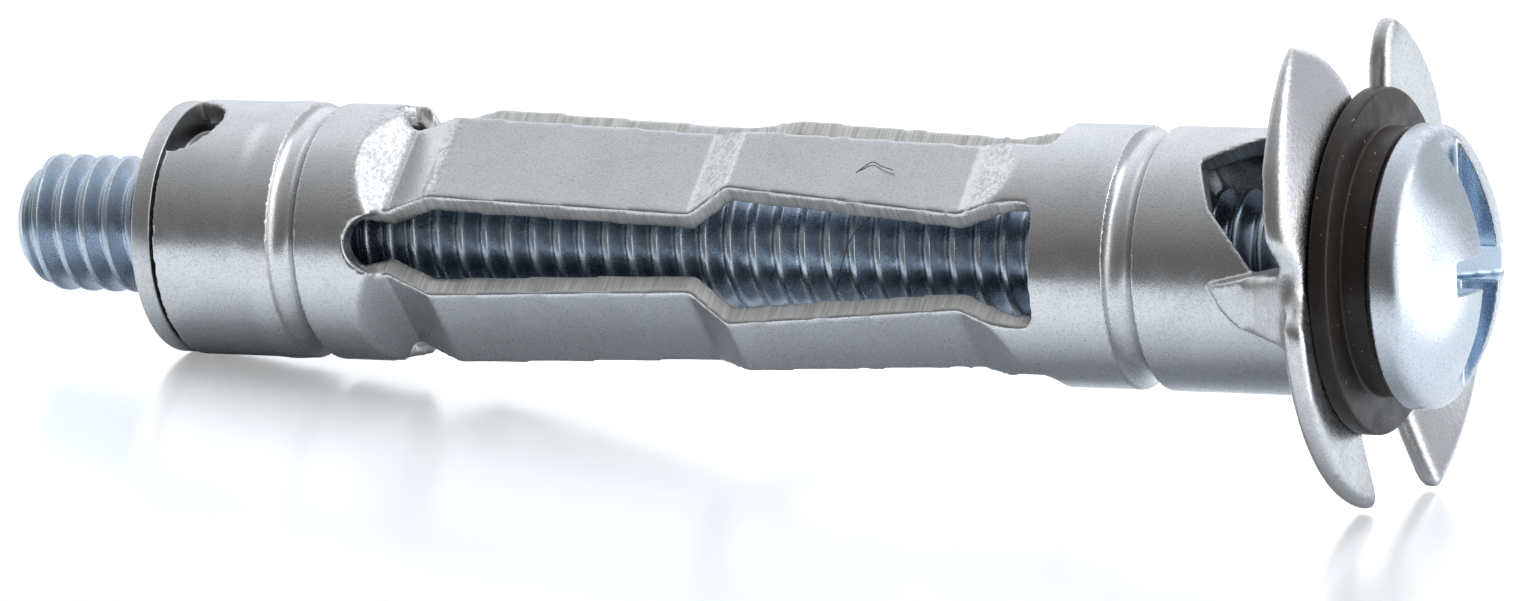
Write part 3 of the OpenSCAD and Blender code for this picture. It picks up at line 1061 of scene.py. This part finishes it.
    def _cross_cutter(self, top: float, turn: float) -> Piece:
        """Returns the tapered blade that cuts one pair of the cross's wings."""
        above = 1
        bm = block(1, self.cross_width, self.cross_depth + above)
        for vert in bm.verts:
            vert.co.x *= self.cross_mouth if vert.co.z > 0 else self.cross_floor
        bmesh.ops.translate(bm, vec=(0, 0, top + (above - self.cross_depth) / 2), verts=bm.verts)
        bmesh.ops.rotate(bm, cent=(0, 0, 0), verts=bm.verts,
                         matrix=Matrix.Rotation(math.radians(turn), 3, "Z"))
        return object_from(bm, "cross_cutter")

    def dress(self, pieces: list[Piece], materials: list[Material]) -> None:
        """Gives thread and head their finishes and lets them stand for the solid."""
        for piece, material in zip(pieces, materials):
            paint(piece, material)
            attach(piece, Body.SCREW.value)
            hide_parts("screw")


@dataclass(frozen=True)
class Fibre:
    """A fine hair that lies on the anchor."""

    name: str
    route: tuple[Triple, ...]
    thickness: float = 0.035

    def build(self) -> list[Piece]:
        """Makes the hair as a thin tube through its route.

        Returns:
            The hair, laid down.
        """
        curve = bpy.data.curves.new(self.name, "CURVE")
        curve.dimensions = "3D"
        curve.bevel_depth = self.thickness / 2
        curve.bevel_resolution = 2
        spline = curve.splines.new("BEZIER")
        spline.bezier_points.add(len(self.route) - 1)
        for point, place in zip(spline.bezier_points, self.route):
            point.co = place
            point.handle_left_type = "AUTO"
            point.handle_right_type = "AUTO"
        drawn = link("route", curve)
        graph = bpy.context.evaluated_depsgraph_get()
        piece = link(self.name, bpy.data.meshes.new_from_object(drawn.evaluated_get(graph)))
        bpy.data.objects.remove(drawn)
        lay_down(piece)
        return [piece]

    def dress(self, pieces: list[Piece], materials: list[Material]) -> None:
        """Gives the hair its colour and lets it ride with the sleeve."""
        piece = pieces[0]
        paint(piece, materials[0])
        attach(piece, Body.ANCHOR.value)


# ---- Studio ----


@dataclass(frozen=True)
class Glow:
    """A round patch of light that lies in one direction."""

    aim: Triple
    edge: float
    light: float
    blur: float = 0.03

    def seen(self, nodes: NodeTree, direction: Socket) -> Socket:
        """Returns the patch's light in a direction."""
        return nodes.spread(nodes.facing(direction, self.aim), self.edge - self.blur,
                            self.edge + self.blur, 0, self.light)


@dataclass(frozen=True)
class Softbox:
    """A rectangular soft light, placed in millimetres."""

    name: str
    place: Triple
    aim: Triple
    size: Span
    watts: float

    def add(self) -> None:
        """Adds the light, which mirrors don't show."""
        data = bpy.data.lights.new(self.name, "AREA")
        data.shape = "RECTANGLE"
        data.size = self.size[0] * MM
        data.size_y = self.size[1] * MM
        data.energy = self.watts
        toward = (Vector(self.place) - Vector(self.aim)).normalized()
        light = link(self.name, data)
        light.matrix_world = Matrix.Translation(Vector(self.place) * MM) \
            @ toward.to_track_quat("Z", "Y").to_matrix().to_4x4()
        light.visible_glossy = False


@dataclass
class Studio:
    """White sweep, lights and the camera."""

    azimuth: float = 23.41
    elevation: float = 12.07
    roll: float = 2.0
    distance: float = 290.2
    target: Triple = (0.82, -0.55, 3.71)
    lens: float = 231.37
    sensor: float = 36
    clip: Span = (0.01, 10)
    floor_front: float = 26.0
    floor_back: float = 400.0
    floor_side: float = 300.0
    floor_colour: Triple = (0.66, 0.69, 0.72)
    floor_roughness: float = 0.5
    floor_glow: float = 0.82
    floor_gloss: float = 0.6
    floor_blur: float = 0.2
    panel: Glow = Glow((0.97, 0.22, 0.02), 0.91, 1.3)
    panel_from: Triple = (22.5, -0.5, 5.3)
    bright_side: Triple = (0.12, 0.775, 0.62)
    room: tuple[Span, ...] = ((-1.0, 0.15), (-0.6, 0.17), (-0.2, 0.36), (0.18, 0.56),
                              (0.53, 0.8), (0.8, 1.1), (1.0, 1.4))
    dark_tint: Triple = (1.02, 1.0, 0.98)
    bright_tint: Triple = (0.96, 1.0, 1.05)
    glows: tuple[Glow, ...] = (Glow((0.90, -0.32, 0.22), 0.90, 2.4),
                               Glow((0.72, -0.05, 0.69), 0.93, 1.6),
                               Glow((-0.86, 0.12, 0.47), 0.90, 0.6),
                               Glow((0.97, 0.22, 0.02), 0.91, 1.1),
                               Glow((0.60, 0.66, 0.45), 0.88, -0.45))
    softboxes: tuple[Softbox, ...] = (
        Softbox("overhead", (0, 60, 300), (0, 0, 5), (300, 300), 1.0),)

    def add_camera(self) -> None:
        """Adds the camera at its measured angle."""
        azimuth = math.radians(self.azimuth)
        elevation = math.radians(self.elevation)
        toward = Vector((math.sin(azimuth) * math.cos(elevation),
                         -math.cos(azimuth) * math.cos(elevation), math.sin(elevation)))
        right = Vector((math.cos(azimuth), math.sin(azimuth), 0))
        turn = Matrix((right, toward.cross(right), toward)).transposed().to_4x4()
        data = bpy.data.cameras.new("camera")
        data.sensor_width = self.sensor
        data.lens = self.lens
        data.clip_start, data.clip_end = self.clip
        camera = link("camera", data)
        place = Matrix.Translation((Vector(self.target) + toward * self.distance) * MM)
        camera.matrix_world = place @ turn @ Matrix.Rotation(math.radians(self.roll), 4, "Z")
        bpy.context.scene.camera = camera

    def add_floor(self) -> None:
        """Adds the white glossy surface that the anchor lies on."""
        depth = (self.floor_back + self.floor_front) * MM
        middle = (self.floor_back - self.floor_front) * MM / 2
        bm = bmesh.new()
        bmesh.ops.create_grid(bm, x_segments=1, y_segments=1, size=0.5)
        bmesh.ops.scale(bm, vec=(2 * self.floor_side * MM, depth, 1), verts=bm.verts)
        bmesh.ops.translate(bm, vec=(0, middle, 0), verts=bm.verts)
        floor = object_from(bm, "floor")
        white = (1, 1, 1, 1)
        material, nodes, shader = new_material("white_acrylic")
        rays = nodes.add("ShaderNodeLightPath").outputs
        glow = nodes.calc("MULTIPLY", rays["Is Camera Ray"], self.floor_glow)
        light = nodes.plus(glow, rays["Is Glossy Ray"], self._mirrored_panel(nodes))
        nodes.feed(shader, {"Base Color": (*self.floor_colour, 1), "Emission Color": white,
                            "Roughness": self.floor_roughness, "Emission Strength": light})
        mirror = nodes.add("ShaderNodeBsdfGlossy", {"Color": white, "Roughness": self.floor_blur})
        share = nodes.calc("MULTIPLY", rays["Is Camera Ray"], self.floor_gloss)
        mixed = nodes.add("ShaderNodeMixShader",
                          {0: share, 1: shader.outputs[0], 2: mirror.outputs[0]})
        nodes.feed(material.node_tree.nodes["Material Output"], {"Surface": mixed.outputs[0]})
        floor.data.materials.append(material)

    def _mirrored_panel(self, nodes: NodeTree) -> Socket:
        """Returns the light that the head finds in the floor: a white panel's mirror image."""
        place = nodes.add("ShaderNodeTexCoord").outputs["Object"]
        away = nodes.vector("SUBTRACT", place, Vector(self.panel_from) * MM)
        toward = nodes.vector("NORMALIZE", away.outputs[0])
        return self.panel.seen(nodes, toward.outputs[0])

    def add_room(self) -> None:
        """Lights the scene from a room, dark before the anchor and bright above and behind."""
        world = bpy.data.worlds.new("studio")
        bpy.context.scene.world = world
        world.use_nodes = True
        nodes = NodeTree(world.node_tree)
        background = world.node_tree.nodes["Background"]
        direction = nodes.add("ShaderNodeTexCoord").outputs["Generated"]
        toward = nodes.facing(direction, self.bright_side)
        ramp = nodes.add("ShaderNodeValToRGB")
        ramp.color_ramp.interpolation = "LINEAR"
        stops = ramp.color_ramp.elements
        while len(stops) < len(self.room):
            stops.new(0.5)
        for stop, (facing, light) in zip(stops, self.room):
            stop.position = (facing + 1) / 2
            stop.color = (light, light, light, 1)
        share = nodes.calc("ADD", nodes.calc("MULTIPLY", toward, 0.5), 0.5)
        nodes.feed(ramp, {"Fac": share})
        strength: Socket | float = 1.0
        for glow in self.glows:
            strength = nodes.calc("ADD", strength, glow.seen(nodes, direction))
        tint = nodes.mix(ramp.outputs["Color"], self.dark_tint, self.bright_tint)
        lit = nodes.vector("MULTIPLY", ramp.outputs["Color"], tint)
        strong = nodes.vector("SCALE", lit.outputs[0])
        nodes.feed(strong, {"Scale": strength})
        rays = nodes.add("ShaderNodeLightPath")
        colour = nodes.mix(rays.outputs["Is Camera Ray"], strong.outputs[0], (1, 1, 1))
        nodes.feed(background, {"Color": colour})

    def build(self) -> None:
        """Sets up the camera, the floor and all light."""
        bpy.context.scene.view_settings.view_transform = "Standard"
        self.add_camera()
        self.add_floor()
        self.add_room()
        for softbox in self.softboxes:
            softbox.add()


# Routes of the hairs: x, height over the axis and station.
FIBRES = (
    Fibre("hair_in_slit", ((-2.35, 1.4, 22.85), (-2.5, 0.8, 22.3), (-2.45, 0.1, 21.95),
                           (-2.2, -0.85, 21.6))),
    Fibre("hair_on_leg", ((-2.43, 2.67, 22.46), (-2.3, 2.8, 22.62), (-2.15, 2.95, 22.88),
                          (-2.25, 2.86, 23.2), (-2.33, 2.77, 23.6)), 0.028),
)


def finish_part(part: Sleeve | Nut | Washer | Screw | Fibre, materials: list[Material]) -> None:
    """Builds a part, gives it its finishes and logs each of its pieces.

    Args:
        part: the sub-assembly.
        materials: one for all its pieces, or one for each.
    """
    pieces = part.build()
    part.dress(pieces, materials)
    for piece in pieces:
        LOG.info("%s: %d faces", piece.name, len(piece.data.polygons))


def build_anchor() -> None:
    """Makes every piece of the anchor."""
    groups = {"plating": Plating().build(), "shear_marks": ShearMarks().build()}
    bright = ZincFinish("sleeve_plating", (0.68, 0.69, 0.70), (0.50, 0.505, 0.51), 0.24,
                        masks=(Mask.SHEARED, Mask.WORKED_AND_HIGHLIGHT))
    turned = ZincFinish("nut_plating", (0.62, 0.63, 0.64), (0.44, 0.45, 0.46), 0.3)
    # The thread's plating is a darker, bluer copy of the head's: painted shade for the thread
    # inside the sleeve.
    shaded_thread = ZincFinish("thread_plating_shaded", (0.55, 0.62, 0.70), (0.38, 0.45, 0.54), 0.28)
    pale = ZincFinish("head_plating", (0.62, 0.66, 0.71), (0.44, 0.48, 0.53), 0.24,
                      masks=(Mask.WORKED_AND_HIGHLIGHT, Mask.RECESS_SHADE))
    brown = PlasticFinish("washer_plastic", (0.020, 0.0145, 0.0115))
    hair = PlasticFinish("hair", (0.05, 0.035, 0.028)).build()
    finish_part(Sleeve(), [bright.build(groups)])
    finish_part(Nut(), [turned.build(groups)])
    finish_part(Screw(), [shaded_thread.build(groups), pale.build(groups)])
    for fibre in FIBRES:
        finish_part(fibre, [hair])
    finish_part(Washer(), [brown.build()])


def main() -> None:
    """Builds the studio and the anchor."""
    logging.basicConfig(level=logging.INFO, format="%(name)s: %(message)s")
    Studio().build()
    build_anchor()


if __name__ == "__main__":
    main()
